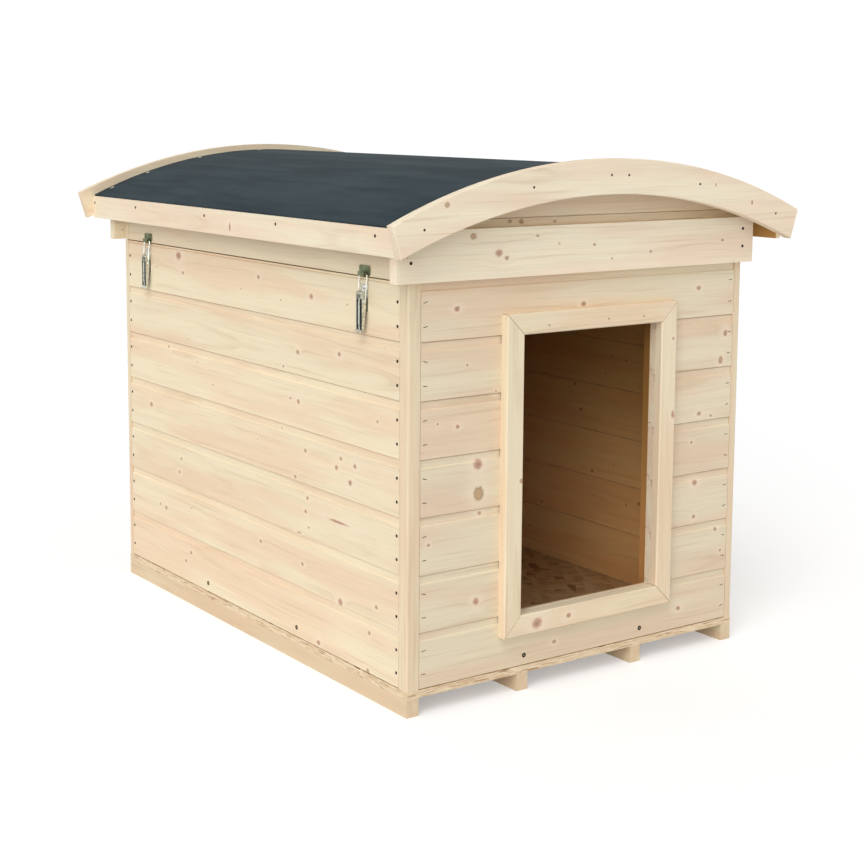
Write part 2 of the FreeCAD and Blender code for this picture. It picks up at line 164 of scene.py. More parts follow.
# Painted shade on the faces that look inwards, lighter below and darker above these heights in metres
INDOOR_SHADE_HEIGHTS = (0.15, 0.52)
INDOOR_SHADE_LOW = (1.00, 0.69, 0.39)
INDOOR_SHADE_HIGH = (0.56, 0.35, 0.15)

# Noise scales per metre, along the grain and across it
WARMTH_SCALE = (2.2, 16.0)
WAVER_SCALE = (3.2, 9.0)
RING_SCALE = (3.5, 210.0)
STREAK_SCALE = (2.6, 85.0)
FIBRE_SCALE = (9.0, 520.0)
DUCT_SCALE = (38.0, 900.0)
RAGGED_SCALE = (150, 150, 150)
BOARD_SHIFT = 40.0          # how far apart the boards lie in the noise

PITH_ACROSS = 0.11          # the room the pith has across the board and into it, metres
PITH_DEPTH = 0.05
RING_WAVER = 0.013
RING_SLANT = 0.03
RING_SHARE = 0.42           # how strongly the latewood shows
DUCT_SHARE = 0.30
FIBRE_SHADE = 0.18
STREAK_SHADE = 0.14
BOARD_SHADE = 0.05

# Knots from the middle out: (distance in knot radii / KNOT_REACH, red, green, blue)
SOUND_KNOT = [(0.0, 0.33, 0.15, 0.10), (0.12, 0.46, 0.24, 0.16), (0.20, 0.52, 0.29, 0.19),
              (0.28, 0.84, 0.62, 0.46), (0.36, 0.95, 0.80, 0.63), (1.0, 0.93, 0.77, 0.60)]
DEAD_KNOT = [(0.0, 0.50, 0.28, 0.13), (0.12, 0.52, 0.32, 0.16), (0.20, 0.30, 0.17, 0.09),
             (0.28, 0.78, 0.60, 0.42), (0.36, 0.94, 0.80, 0.61), (1.0, 0.92, 0.77, 0.59)]
KNOT_COVER = [(0.0, 0.82), (0.20, 0.74), (0.27, 0.34), (0.36, 0.42), (0.60, 0.20), (1.0, 0.0)]
KNOT_REACH = 4.0
KNOT_RAGGED = 0.9           # how uneven the outlines are, in knot radii
KNOT_SWELL = 0.008          # how far a knot pushes the rings aside, metres
KNOT_SWELL_FADE = -0.55
KNOT_SIZE = 0.80            # the knots' real radius against the one written in the lists


def knot(along, across, radius, slant=1.25):
    size = radius * KNOT_SIZE * MM
    return (along * MM, across * MM, size * slant, size)


def knot_field(recipe, place, knots):
    """Distance to the nearest knot, in that knot's own radii."""
    nearest = None
    for along, across, half_length, half_width in knots:
        scale = (1 / half_length, 1 / half_width, 0)
        offset = (-along / half_length, -across / half_width, 0)
        reach = recipe.add("VectorMath", {0: recipe.stretch(place, scale, offset)}, operation="LENGTH")
        distance = reach.outputs["Value"]
        nearest = distance if nearest is None else recipe.math("MINIMUM", nearest, distance)
    return nearest


def indoors(recipe, point, inside):
    """1 on the faces that look inwards, where painted shade goes, 0 on the outer ones and on the skids."""
    size = recipe.add("VectorMath", {0: point}, operation="ABSOLUTE").outputs[0]
    past = recipe.add("VectorMath", {0: size, 1: inside}, operation="SUBTRACT").outputs[0]
    axes = recipe.add("SeparateXYZ", {0: past}).outputs
    within = recipe.math("LESS_THAN", recipe.math("MAXIMUM", axes["X"], axes["Y"]), 0.0)
    over_skids = recipe.math("GREATER_THAN", axes["Z"], floor_bottom - 1 * MM)
    return recipe.math("MULTIPLY", within, over_skids)


def spruce(name, grain, seed, centre, knots, dead_knots, stacked, tone, inside):
    """Spruce: growth rings round a pith that lies near the board, fibres, stains and knots, and painted
    shade on the faces that look inwards.

    A stacked material serves a whole wall of boards, and gives each course rings of its own."""
    recipe = Recipe(name)
    point = recipe.add("TexCoord").outputs["Object"]
    axes = recipe.add("SeparateXYZ", {0: point}).outputs
    along, across, depth = [axes[axis] for axis in grain]
    if stacked:
        above_floor = recipe.math("SUBTRACT", across, floor_top)
        row = recipe.math("FLOOR", recipe.math("DIVIDE", above_floor, course_height))
        middle = recipe.math("MULTIPLY_ADD", row, course_height, floor_top + course_height / 2)
        local = recipe.math("SUBTRACT", across, middle)
        key = recipe.math("ADD", row, seed)
    else:
        local = recipe.math("SUBTRACT", across, centre[1])
        key = seed
    chance = recipe.add("TexWhiteNoise", {"W": key}, noise_dimensions="1D").outputs["Color"]
    first, second, third = recipe.add("SeparateColor", {0: chance}).outputs[:3]
    shift = recipe.math("MULTIPLY", third, BOARD_SHIFT)

    def grained(scale, height, offset=0.0):
        """A place for a noise that is long along the grain."""
        return recipe.vector(recipe.math("MULTIPLY", along, scale[0]),
                             recipe.math("MULTIPLY_ADD", height, scale[1], offset),
                             recipe.math("MULTIPLY", depth, scale[1]))

    waver = recipe.noise(grained(WAVER_SCALE, local, shift), detail=2.5)
    pith_across = recipe.math("MULTIPLY_ADD", first, PITH_ACROSS,
                              recipe.math("SUBTRACT", local, PITH_ACROSS / 2))
    pith_depth = recipe.math("MULTIPLY_ADD", second, PITH_DEPTH,
                             recipe.math("SUBTRACT", depth, centre[2] - PITH_DEPTH / 2))
    reach = recipe.add("VectorMath", {0: recipe.vector(pith_across, pith_depth)}, operation="LENGTH")
    radius = recipe.math("MULTIPLY_ADD", waver, RING_WAVER, reach.outputs["Value"])
    radius = recipe.math("MULTIPLY_ADD", recipe.math("SUBTRACT", third, 0.5),
                         recipe.math("MULTIPLY", along, RING_SLANT), radius)

    ragged = recipe.noise(recipe.stretch(point, RAGGED_SCALE))
    ragged = recipe.math("MULTIPLY_ADD", ragged, KNOT_RAGGED, -KNOT_RAGGED / 2)
    fields = []
    for group, colours in ((knots, SOUND_KNOT), (dead_knots, DEAD_KNOT)):
        if group:
            distance = knot_field(recipe, recipe.vector(along, across), group)
            distance = recipe.math("ADD", distance, ragged)
            fields.append((distance, colours))
            swell = recipe.math("EXPONENT", recipe.math("MULTIPLY", distance, KNOT_SWELL_FADE))
            radius = recipe.math("MULTIPLY_ADD", swell, KNOT_SWELL, radius)

    ring_place = recipe.vector(recipe.math("MULTIPLY", along, RING_SCALE[0]),
                               recipe.math("MULTIPLY_ADD", radius, RING_SCALE[1], shift))
    rings = recipe.noise(ring_place, detail=3.0, roughness=0.62)
    late = recipe.smooth_step(rings, 0.50, 0.76, 0.0, RING_SHARE)
    warmth = recipe.noise(grained(WARMTH_SCALE, across, shift), detail=3.0)
    fibre = recipe.noise(grained(FIBRE_SCALE, across), detail=3.0, roughness=0.6)
    streak = recipe.noise(grained(STREAK_SCALE, across, shift), detail=3.0, roughness=0.6)
    duct = recipe.noise(grained(DUCT_SCALE, across, shift), detail=1.0)
    duct = recipe.smooth_step(duct, 0.70, 0.80, 0.0, DUCT_SHARE)

    colour = recipe.mix(recipe.smooth_step(warmth, 0.40, 0.62), PALE_YELLOW, PALE_PINK)
    colour = recipe.mix(late, colour, LATEWOOD)
    colour = recipe.mix(duct, colour, LATEWOOD)
    for value, amount in ((fibre, FIBRE_SHADE), (streak, STREAK_SHADE), (third, BOARD_SHADE)):
        colour = recipe.shaded(colour, value, amount)
    colour = recipe.mix(1.0, colour, tone, "MULTIPLY")
    for distance, colours in fields:
        spread = recipe.math("DIVIDE", distance, KNOT_REACH)
        colour = recipe.mix(recipe.ramp(spread, KNOT_COVER), colour, recipe.ramp(spread, colours))
    # Painted shade on the faces that look inwards: lighter low down, darker up under the roof
    indoor_shade = recipe.mix(recipe.smooth_step(axes["Z"], *INDOOR_SHADE_HEIGHTS), INDOOR_SHADE_LOW, INDOOR_SHADE_HIGH)
    indoor_shade = recipe.mix(1.0, colour, indoor_shade, "MULTIPLY")
    colour = recipe.mix(indoors(recipe, point, inside), colour, indoor_shade)
    height = recipe.math("MULTIPLY_ADD", fibre, 0.6, late)
    return recipe.finish(colour, recipe.bump(height, 0.25, 0.5 * MM), roughness=0.62)


# Where the knots lie, as (along the grain, across it, radius, length / width), in mm.
# Side wall: for each course, from the wall's middle and from the course's foot.
LEFT_SOUND = {
    1: [(-232, 10, 5), (246, 39, 4)],
    2: [(-300, 6, 7), (-181, 42, 4), (326, 35, 5)],
    3: [(-192, 44, 4), (-198, 68, 4), (-202, 19, 3), (268, 26, 4), (-172, 4, 2, 5.0),
        (-293, 47, 3, 12.0)],
    4: [(-288, 46, 5), (-329, 29, 6), (-343, 58, 5), (384, 48, 6)],
    5: [(-170, 46, 5), (-144, 48, 3)],
    6: [(-169, 39, 5), (-297, 51, 5)],
    7: [(260, 76, 10), (-212, 45, 6), (-39, 62, 5)],
}
LEFT_DEAD = {
    1: [(224, 59, 4), (-385, 67, 4), (-381, 5, 4)],
    2: [(-40, 50, 4), (-405, 24, 4), (351, 38, 3), (220, 56, 2), (116, 56, 2)],
    3: [(260, 53, 4)],
    4: [(-192, 57, 4), (-302, 63, 4), (-159, 7, 4), (-33, 50, 2), (-111, 82, 2)],
    5: [(-407, 50, 3), (310, 80, 3), (130, 32, 2), (189, 66, 2)],
    6: [(-121, 9, 3), (224, 15, 2)],
    7: [(243, 46, 4), (-114, 30, 2), (-321, 43, 2), (351, 49, 2), (23, 36, 2)],
}
# The other boards: from the middle or the ground
FRONT_SOUND = [(-215, 383, 10, 1.1), (-258, 628, 5), (-255, 446, 4), (248, 631, 5), (-7, 620, 5),
               (315, 549, 7, 0.8), (-210, 304, 4), (251, 294, 6), (220, 77, 5), (-217, 164, 7, 1.0)]
FRONT_DEAD = [(-214, 336, 13, 0.9), (-309, 268, 3), (305, 503, 8, 0.7), (257, 414, 5), (285, 408, 3),
              (251, 235, 4), (304, 205, 4), (317, 165, 3), (-56, 69, 4), (-182, 495, 2), (-238, 540, 2),
              (241, 366, 3), (-293, 454, 2)]
SKIRT_SOUND = [(-193, 711, 7), (-2, 716, 3), (120, 700, 3)]
SKIRT_DEAD = [(-242, 738, 6), (-178, 703, 4), (-118, 735, 3), (-74, 721, 2), (283, 712, 3), (36, 692, 2)]
GABLE_DEAD = [(-157, 757, 4), (-134, 756, 5), (-67, 754, 3)]
ARCH_SOUND = [(220, 808, 4, 0.6), (305, 777, 5, 0.6)]
ARCH_DEAD = [(-323, 790, 5)]
FASCIA_SOUND = [(-20, 728, 9, 0.5)]
TRIM_BOTTOM_SOUND = [(-40, 114, 5), (-106, 113, 11, 1.1)]
TRIM_LEFT_DEAD = [(350, -142, 4)]
TRIM_RIGHT_SOUND = [(423, 180, 4, 2.2)]
TRIM_RIGHT_DEAD = [(552, 177, 3)]

# The boards come from different planks, some paler and bluer, some darker
FRONT_TONE = (0.92, 0.93, 0.95)
ROOF_TONE = (1.0, 1.03, 1.10)
# The skirt and the gable boards under the arch: paler planks, and painted light against the arch's shade
SKIRT_TONE_AND_LIGHT = (1.05, 1.09, 1.17)
GABLE_TONE_AND_LIGHT = (1.04, 1.08, 1.12)
POST_TONE = (0.955, 0.925, 0.915)
FASCIA_TONE = (1.02, 1.06, 1.12)
SKID_TONE = (0.86, 0.84, 0.80)
JAMB_PAINTED_SHADE = (0.58, 0.50, 0.40)      # painted shade: darker battens, as only dim light reaches them


def scattered(seed, box, grain, count):
    """A few knots at places that look random but are the same every time."""
    axes = ["XYZ".index(axis) for axis in grain[:2]]
    found = []
    for index in range(count):
        turns = [math.sin(seed * 12.9898 + index * 78.233 + part * 37.719) for part in (1, 2, 3)]
        *shares, size = [abs(math.modf(turn * 43758.5453)[0]) for turn in turns]
        spots = [box[0][axis] + share * (box[1][axis] - box[0][axis]) for axis, share in zip(axes, shares)]
        found.append((spots[0] / MM, spots[1] / MM, 1.5 + 3.5 * size ** 2))
    return found


def timber(name, grain, seed, sound=(), dead=(), stacked=False, tone=PLAIN):
    low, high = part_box(name)
    middle = (low + high) / 2
    centre = [middle["XYZ".index(axis)] for axis in grain]
    # The fascias' inner faces under the eave get painted shade
    inside = EAVE_SHADE_INSIDE if name.startswith("fascia") else WALL_INSIDE
    knots, dead_knots = [[knot(*spot) for spot in spots] for spots in (sound, dead)]
    paint([name], spruce("spruce_" + name, grain, seed, centre, knots, dead_knots, stacked, tone, inside))


def finish_walls():
    for number in range(1, course_count + 1):
        foot = floor_top / MM + (number - 1) * course_height / MM
        sound, dead = [[(y, foot + up, *shape) for y, up, *shape in spots[number]]
                       for spots in (LEFT_SOUND, LEFT_DEAD)]
        timber("left_board_%d" % number, SIDE_GRAIN, 3.7 + number, sound, dead)
        right = "right_board_%d" % number
        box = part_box(right)
        timber(right, SIDE_GRAIN, 23.1 + number, scattered(number, box, SIDE_GRAIN, 3),
               scattered(number + 9, box, SIDE_GRAIN, 4))
    for name in nodes:
        if name.startswith("front_board"):
            timber(name, FACE_GRAIN, 41.3, FRONT_SOUND, FRONT_DEAD, stacked=True, tone=FRONT_TONE)
    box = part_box("back_wall_boards")
    timber("back_wall_boards", FACE_GRAIN, 57.9, scattered(4, box, FACE_GRAIN, 12),
           scattered(5, box, FACE_GRAIN, 14), stacked=True)


def finish_frame_and_roof():
    timber("skirt_front", FACE_GRAIN, 71.2, SKIRT_SOUND, SKIRT_DEAD, tone=SKIRT_TONE_AND_LIGHT)
    timber("gable_boards_front", FACE_GRAIN, 73.5, (), GABLE_DEAD, tone=GABLE_TONE_AND_LIGHT)
    timber("arch_board_front", FACE_GRAIN, 75.1, ARCH_SOUND, ARCH_DEAD, tone=ROOF_TONE)
    timber("fascia_left", SIDE_GRAIN, 77.7, FASCIA_SOUND, tone=FASCIA_TONE)
    timber("door_trim_bottom", FACE_GRAIN, 66.1, TRIM_BOTTOM_SOUND)
    timber("door_trim_left", POST_GRAIN, 67.4, (), TRIM_LEFT_DEAD)
    timber("door_trim_right", POST_GRAIN, 68.2, TRIM_RIGHT_SOUND, TRIM_RIGHT_DEAD)
    for index, (name, grain, count) in enumerate((
            ("skirt_back", FACE_GRAIN, 4), ("gable_boards_back", FACE_GRAIN, 3),
            ("arch_board_back", FACE_GRAIN, 3), ("lid_rail_left", SIDE_GRAIN, 2),
            ("lid_rail_right", SIDE_GRAIN, 3), ("fascia_right", SIDE_GRAIN, 3), ("roof_ribs", FACE_GRAIN, 3),
            ("door_trim_top", FACE_GRAIN, 0), ("lid_corner_blocks", POST_GRAIN, 0))):
        timber(name, grain, 80.3 + index, (), scattered(20 + index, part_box(name), grain, count))
    for prefix, grain, seed, tone, ends in (
            ("corner_post_", POST_GRAIN, 93.3, POST_TONE, "front_left front_right back_left back_right"),
            ("skid_", SIDE_GRAIN, 53.3, SKID_TONE, "left inner_left inner_right right"),
            ("door_jamb_", POST_GRAIN, 97.3, JAMB_PAINTED_SHADE, "left right")):
        for index, end in enumerate(ends.split()):
            timber(prefix + end, grain, seed + index, tone=tone)


# ---- sheets and steel ----

FLAKE_TURNS = (0.5, 2.1)
FLAKE_SCALE = (20, 75, 700)
FLAKE_GRAIN_SCALE = (40, 900, 900)
FLAKE_COLOURS = [(0.0, 0.36, 0.20, 0.10), (0.10, 0.66, 0.47, 0.28), (0.45, 0.80, 0.62, 0.41),
                 (0.8, 0.85, 0.69, 0.48), (1.0, 0.88, 0.74, 0.54)]
FLOOR_INDOOR_SHADE = (0.72, 0.58, 0.42)
VENEER_PALE = (0.80, 0.62, 0.40)
VENEER_DARK = (0.66, 0.46, 0.27)
FELT_DARK = (0.016, 0.028, 0.035)
FELT_PALE = (0.031, 0.047, 0.054)


def strand_board(name):
    """Pressed flakes: thin flat cells in two directions, which show as layers on the cut edges."""
    recipe = Recipe(name)
    point = recipe.add("TexCoord").outputs["Object"]
    layers = []
    for angle in FLAKE_TURNS:
        turned = recipe.add("VectorRotate", {"Vector": point, "Angle": angle}, rotation_type="Z_AXIS")
        place = recipe.stretch(turned.outputs[0], FLAKE_SCALE)
        inputs = {"Vector": place, "Scale": 1.0, "Randomness": 1.0}
        cells = recipe.add("TexVoronoi", inputs, feature="F1").outputs["Color"]
        grain = recipe.noise(recipe.stretch(turned.outputs[0], FLAKE_GRAIN_SCALE))
        chances = recipe.add("SeparateColor", {0: cells}).outputs
        layers.append((chances[0], chances[1], grain))
    (upper, upper_rank, grain), (lower, lower_rank, _) = layers
    pick = recipe.math("GREATER_THAN", upper_rank, lower_rank)
    tone = recipe.math("MULTIPLY_ADD", pick, recipe.math("SUBTRACT", upper, lower), lower)
    colour = recipe.shaded(recipe.ramp(tone, FLAKE_COLOURS), grain, 0.3)
    # Painted shade on the floor inside the house
    inner = recipe.mix(1.0, colour, FLOOR_INDOOR_SHADE, "MULTIPLY")
    colour = recipe.mix(indoors(recipe, point, WALL_INSIDE), colour, inner)
    return recipe.finish(colour, recipe.bump(tone, 0.3, 0.6 * MM), roughness=0.55)


def veneer(name):
    """The roof sheet: rotary-cut veneer with broad, wavy figure."""
    recipe = Recipe(name)
    point = recipe.add("TexCoord").outputs["Object"]
    drift = recipe.noise(recipe.stretch(point, (5, 1.6, 5)), detail=3.0)
    axes = recipe.add("SeparateXYZ", {0: point}).outputs
    wave = recipe.math("MULTIPLY_ADD", drift, 22.0, recipe.math("MULTIPLY", axes["X"], 30.0))
    band = recipe.math("MULTIPLY_ADD", recipe.math("SINE", wave), 0.5, 0.5)
    fibre = recipe.noise(recipe.stretch(point, (500, 12, 500)), detail=3.0)
    colour = recipe.shaded(recipe.mix(band, VENEER_PALE, VENEER_DARK), fibre, 0.24)
    return recipe.finish(colour, recipe.bump(fibre, 0.2, 0.4 * MM))


def felt(name):
    """Sanded roofing felt: slate grey with a fine grit and faint streaks along the roll."""
    recipe = Recipe(name)
    point = recipe.add("TexCoord").outputs["Object"]
    streak = recipe.noise(recipe.stretch(point, (26, 3.5, 26)), detail=4.0, roughness=0.6)
    patch = recipe.noise(recipe.stretch(point, (7, 5, 7)), detail=3.0)
    grit = recipe.noise(recipe.stretch(point, (900, 900, 900)), detail=2.0, roughness=0.7)
    colour = recipe.mix(recipe.smooth_step(streak, 0.35, 0.68), FELT_DARK, FELT_PALE)
    for value, amount in ((patch, 0.35), (grit, 0.7)):
        colour = recipe.shaded(colour, value, amount)
    height = recipe.math("MULTIPLY_ADD", patch, 2.0, grit)
    return recipe.finish(colour, recipe.bump(height, 0.35, 0.5 * MM), roughness=0.85, specular=0.2)


def plated_steel(name, dark, light, roughness=0.34):
    """Zinc plating, with the cloudy tone of its passivation and fine drawing marks."""
    recipe = Recipe(name)
    point = recipe.add("TexCoord").outputs["Object"]
    cloud = recipe.noise(recipe.stretch(point, (130, 130, 130)), detail=3.0)
    scratch = recipe.noise(recipe.stretch(point, (2600, 2600, 160)), detail=2.0)
    colour = recipe.mix(recipe.smooth_step(cloud, 0.35, 0.65), dark, light)
    return recipe.finish(colour, recipe.bump(scratch, 0.12, 0.1 * MM), roughness, 1.0, 0.5)


LEVER_RIM = 1.5 * MM                # the bright edge along each side
LEVER_RIB = 1.8 * MM                # half the width of the pressed rib
LEVER_TIP = 4.5 * MM
LEVER_HEAD = 11 * MM                # from the lever's top to the face with the painted reflection
LEVER_CLOUDY = (0.50, 0.51, 0.42)
LEVER_BRIGHT = (0.84, 0.84, 0.76)
# Painted reflection: the lever's face is painted near black
LEVER_PAINTED_REFLECTION = (0.030, 0.036, 0.026)


def lever_steel(name, node):
    """A latch lever: bright rims, rib and tip round a face painted dark, a painted reflection."""
    recipe = Recipe(name)
    low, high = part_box(node)
    middle, half = (low.y + high.y) / 2, (high.y - low.y) / 2
    point = recipe.add("TexCoord").outputs["Object"]
    axes = recipe.add("SeparateXYZ", {0: point}).outputs
    offset = recipe.math("ABSOLUTE", recipe.math("SUBTRACT", axes["Y"], middle))
    within = recipe.smooth_step(offset, half - LEVER_RIM, half - 0.8 * LEVER_RIM, 1.0, 0.0)
    beside = recipe.smooth_step(offset, LEVER_RIB, 1.2 * LEVER_RIB)
    above = recipe.math("GREATER_THAN", axes["Z"], low.z + LEVER_TIP)
    below = recipe.math("LESS_THAN", axes["Z"], high.z - LEVER_HEAD)
    # Where the painted reflection darkens the lever
    face = recipe.math("MULTIPLY", recipe.math("MULTIPLY", within, beside),
                       recipe.math("MULTIPLY", above, below))
    cloud = recipe.noise(recipe.stretch(point, (300, 300, 300)), detail=3.0)
    bright = recipe.mix(recipe.smooth_step(cloud, 0.35, 0.65), LEVER_CLOUDY, LEVER_BRIGHT)
    colour = recipe.mix(face, bright, LEVER_PAINTED_REFLECTION)
    return recipe.finish(colour, recipe.bump(cloud, 0.1, 0.1 * MM), 0.32, 0.9, 0.5)


# ---- nails and screws ----

# Each head's name, (radius, height) steps up to its tip in mm, sides, and width against length
NAIL = ("nail_head", [(2.7, 0), (2.7, 0.25), (2.0, 0.5), (0, 0.55)], 12)
STAPLE = ("staple_crown", [(4.8, 0), (4.5, 0.3), (0, 0.45)], 12, 0.14)
BRAD = ("brad_head", [(1.4, 0), (1.2, 0.25), (0, 0.3)], 10)
CLOUT = ("clout_head", [(4.2, 0), (4.2, 0.5), (3.2, 0.9), (0, 1.0)], 16)
DOMED_SCREW = ("screw_dome", [(3.4, 0), (3.4, 0.3), (2.9, 1.1), (1.9, 1.7), (0.9, 1.95), (0, 2.0)], 24)
FLOOR_SCREW = ("flush_screw", [(4.0, 0), (4.0, 0.2), (3.7, 0.35), (0, 0.36)], 24)
KEEPER_SCREW = ("keeper_screw", [(2.8, 0), (2.8, 0.2), (2.5, 0.35), (0, 0.36)], 24)
# The cross in a screw's head: half its length, its depth and its width, in mm
DOMED_CROSS = (1.9, 1.0, 0.8)
FLOOR_CROSS = (2.2, 0.9, 0.9)
KEEPER_CROSS = (1.6, 0.9, 0.7)


def head_mesh(name, profile, sides, squash=1.0):
    """A turned head that stands on z = 0. Its profile ends on the axis."""
    work = bmesh.new()
    rings = []
    for radius, height in profile[:-1]:
        ring = []
        for index in range(sides):
            turn = math.tau * index / sides
            x, y = radius * MM * math.cos(turn), radius * MM * squash * math.sin(turn)
            ring.append(work.verts.new((x, y, height * MM)))
        rings.append(ring)
    tip = work.verts.new((0, 0, profile[-1][1] * MM))
    for lower, upper in zip(rings, rings[1:]):
        for index in range(sides):
            other = (index + 1) % sides
            work.faces.new((lower[index], lower[other], upper[other], upper[index]))
    for index in range(sides):
        work.faces.new((rings[-1][index], rings[-1][(index + 1) % sides], tip))
    work.faces.new(list(reversed(rings[0])))
    mesh = bpy.data.meshes.new(name)
    work.to_mesh(mesh)
    work.free()
    return mesh


def crossed(mesh, radius, depth, width):
    """The head with a cross-shaped recess cut into it."""
    head = bpy.data.objects.new("cut_head", mesh)
    bpy.context.scene.collection.objects.link(head)
    top = mesh.vertices[-1].co.z
    work = bmesh.new()
    for half_x, half_y in ((radius, width / 2), (width / 2, radius)):
        corners = [(x * half_x * MM, y * half_y * MM) for x, y in ((1, 1), (-1, 1), (-1, -1), (1, -1))]
        upper = [work.verts.new((x, y, top + depth * MM)) for x, y in corners]
        lower = [work.verts.new((x * 0.5, y * 0.5, top - depth * MM)) for x, y in corners]
        work.faces.new(upper)
        work.faces.new(list(reversed(lower)))
        for index in range(4):
            other = (index + 1) % 4
            work.faces.new((upper[other], upper[index], lower[index], lower[other]))
    bmesh.ops.recalc_face_normals(work, faces=work.faces)
    blade_mesh = bpy.data.meshes.new("cross_blade")
    work.to_mesh(blade_mesh)
    work.free()
    blade = bpy.data.objects.new("cross_blade", blade_mesh)
    bpy.context.scene.collection.objects.link(blade)
    cut = head.modifiers.new("recess", "BOOLEAN")
    cut.operation = "DIFFERENCE"
    cut.solver = "EXACT"
    cut.use_self = True
    cut.object = blade
    bpy.context.view_layer.update()
    made = bpy.data.meshes.new_from_object(head.evaluated_get(bpy.context.evaluated_depsgraph_get()))
    bpy.data.objects.remove(head)
    bpy.data.objects.remove(blade)
    return made


def upright(outward):
    """The turn that stands a head on a face with this outward direction."""
    return Vector(outward).to_track_quat("Z", "Y").to_matrix().to_4x4()


def copies(name, mesh, moves, material, body, smooth=True):
    """Copies of one small mesh as one piece that rides on a body."""
    work = bmesh.new()
    for move in moves:
        start = len(work.verts)
        work.from_mesh(mesh)
        work.verts.ensure_lookup_table()
        bmesh.ops.transform(work, matrix=move, verts=work.verts[start:])
    joined = bpy.data.meshes.new(name)
    work.to_mesh(joined)
    work.free()
    for face in joined.polygons:
        face.use_smooth = smooth
    joined.materials.append(material)
    piece = bpy.data.objects.new(name, joined)
    bpy.context.scene.collection.objects.link(piece)
    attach(piece, body)


NAIL_SINK = 0.1 * MM                  # how deep a head's foot lies in the face under it
ARCH_NAIL_SINK = 0.48 * MM            # driven almost flush
FELT_NAIL_SINK = 0.2 * MM


def group(name, mesh, places, outward, material, body, spin=0.0, tilt=0.0, sink=NAIL_SINK):
    """Heads at these places on a flat face.

    Spin turns each a share further than the last, tilt rocks them either way by up to this angle."""
    moves = []
    for index, place in enumerate(places):
        turn = Matrix.Rotation(spin * (index * 0.7 + 0.3) + tilt * math.sin(index * 7.1), 4, "Z")
        foot = Vector(place) - Vector(outward) * sink
        moves.append(Matrix.Translation(foot) @ upright(outward) @ turn)
    copies(name, mesh, moves, material, body)


NAIL_HEIGHTS = (24 * MM, 61 * MM)     # above the foot of each course
NAIL_INSET = 6 * MM                   # from a board's end
STAPLE_INSET = 8 * MM
STAPLE_TILT = 0.3
# In mm, across or along the wall, then height above the ground
SIDE_SCREWS = [(-161, 58), (157, 58)]
FRONT_SCREWS = [(-119, 58), (131, 58)]
FASCIA_NAILS = [(-466, 742), (-174, 742), (72, 742), (347, 742), (530, 742)]
ARCH_NAILS = [(-363, 755), (-162, 812), (-7, 828), (29, 827), (184, 810), (363, 757)]
SKIRT_NAILS = [(-356, 703), (331, 730), (331, 700)]
TRIM_NAILS = [(-90, 593), (34, 595), (110, 594)]
FELT_NAILS = (-358, -281, -165, -28, 105, 232, 352)
FELT_NAIL_INSET = 14 * MM


def on_side(face, spots):
    """Places on a face that looks along X, from spots in mm."""
    return [(face, y * MM, z * MM) for y, z in spots]


def on_end(face, spots):
    """Places on a face that looks along Y, from spots in mm."""
    return [(x * MM, face, z * MM) for x, z in spots]


def course_spots(start, stop, inset):
    """Two fastenings near each end of every course on a wall, in mm."""
    return [(along / MM, (floor_top + number * course_height + height) / MM)
            for number in range(course_count) for along in (start + inset, stop - inset)
            for height in NAIL_HEIGHTS]


def add_wall_fasteners(dark_steel_and_hole_shade, worn):
    nail, staple, brad = [head_mesh(*shape) for shape in (NAIL, STAPLE, BRAD)]
    floor_screw = crossed(head_mesh(*FLOOR_SCREW), *FLOOR_CROSS)
    # The side, which corner of a box is the outer one there, and the wall's face
    for side, corner, face in (("left", 0, wall_left), ("right", 1, wall_right)):
        low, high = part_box(side + "_board_1")
        outward = (1 if corner else -1, 0, 0)
        group("nails_%s_wall" % side, nail, on_side(face, course_spots(low.y, high.y, NAIL_INSET)),
              outward, dark_steel_and_hole_shade, "house")
        group("floor_screws_" + side, floor_screw, on_side(face, SIDE_SCREWS),
              outward, dark_steel_and_hole_shade, "house", spin=1.0)
        group("nails_fascia_" + side, nail, on_side(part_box("fascia_" + side)[corner].x, FASCIA_NAILS),
              outward, dark_steel_and_hole_shade, "roof")
    for end, corner, face in (("front", 0, wall_front), ("back", 1, wall_back)):
        low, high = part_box("front_board_1" if end == "front" else "back_wall_boards")
        outward = (0, 1 if corner else -1, 0)
        group("staples_%s_wall" % end, staple, on_end(face, course_spots(low.x, high.x, STAPLE_INSET)),
              outward, worn, "house", tilt=STAPLE_TILT)
        group("floor_screws_" + end, floor_screw, on_end(face, FRONT_SCREWS),
              outward, dark_steel_and_hole_shade, "house", spin=1.0)
        group("nails_arch_" + end, nail, on_end(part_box("arch_board_" + end)[corner].y, ARCH_NAILS),
              outward, dark_steel_and_hole_shade, "roof", sink=ARCH_NAIL_SINK)
        group("nails_skirt_" + end, nail, on_end(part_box("skirt_" + end)[corner].y, SKIRT_NAILS),
              outward, dark_steel_and_hole_shade, "roof")
    trim_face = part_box("door_trim_top")[0].y
    group("brads_door_trim", brad, on_end(trim_face, TRIM_NAILS), (0, -1, 0), dark_steel_and_hole_shade, "house")


def add_felt_nails(material):
    """Large flat heads along both ends of the felt, each square to the barrel."""
    clout = head_mesh(*CLOUT)
    low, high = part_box("roof_felt")
    corners = [vertex.co for vertex in nodes["roof_felt"].data.vertices]
    rise = high.z - max(corner.z for corner in corners if abs(corner.x) > high.x - 1 * MM)
    radius = (high.x ** 2 + rise ** 2) / (2 * rise)
    for end, y in (("front", low.y + FELT_NAIL_INSET), ("back", high.y - FELT_NAIL_INSET)):
        moves = []
        for x in [spot * MM for spot in FELT_NAILS]:
            outward = Vector((x, 0, math.sqrt(radius ** 2 - x ** 2))).normalized()
            foot = Vector((0, y, high.z - radius)) + outward * (radius - FELT_NAIL_SINK)
            moves.append(Matrix.Translation(foot) @ upright(outward))
        copies("felt_nails_" + end, clout, moves, material, "roof", smooth=False)


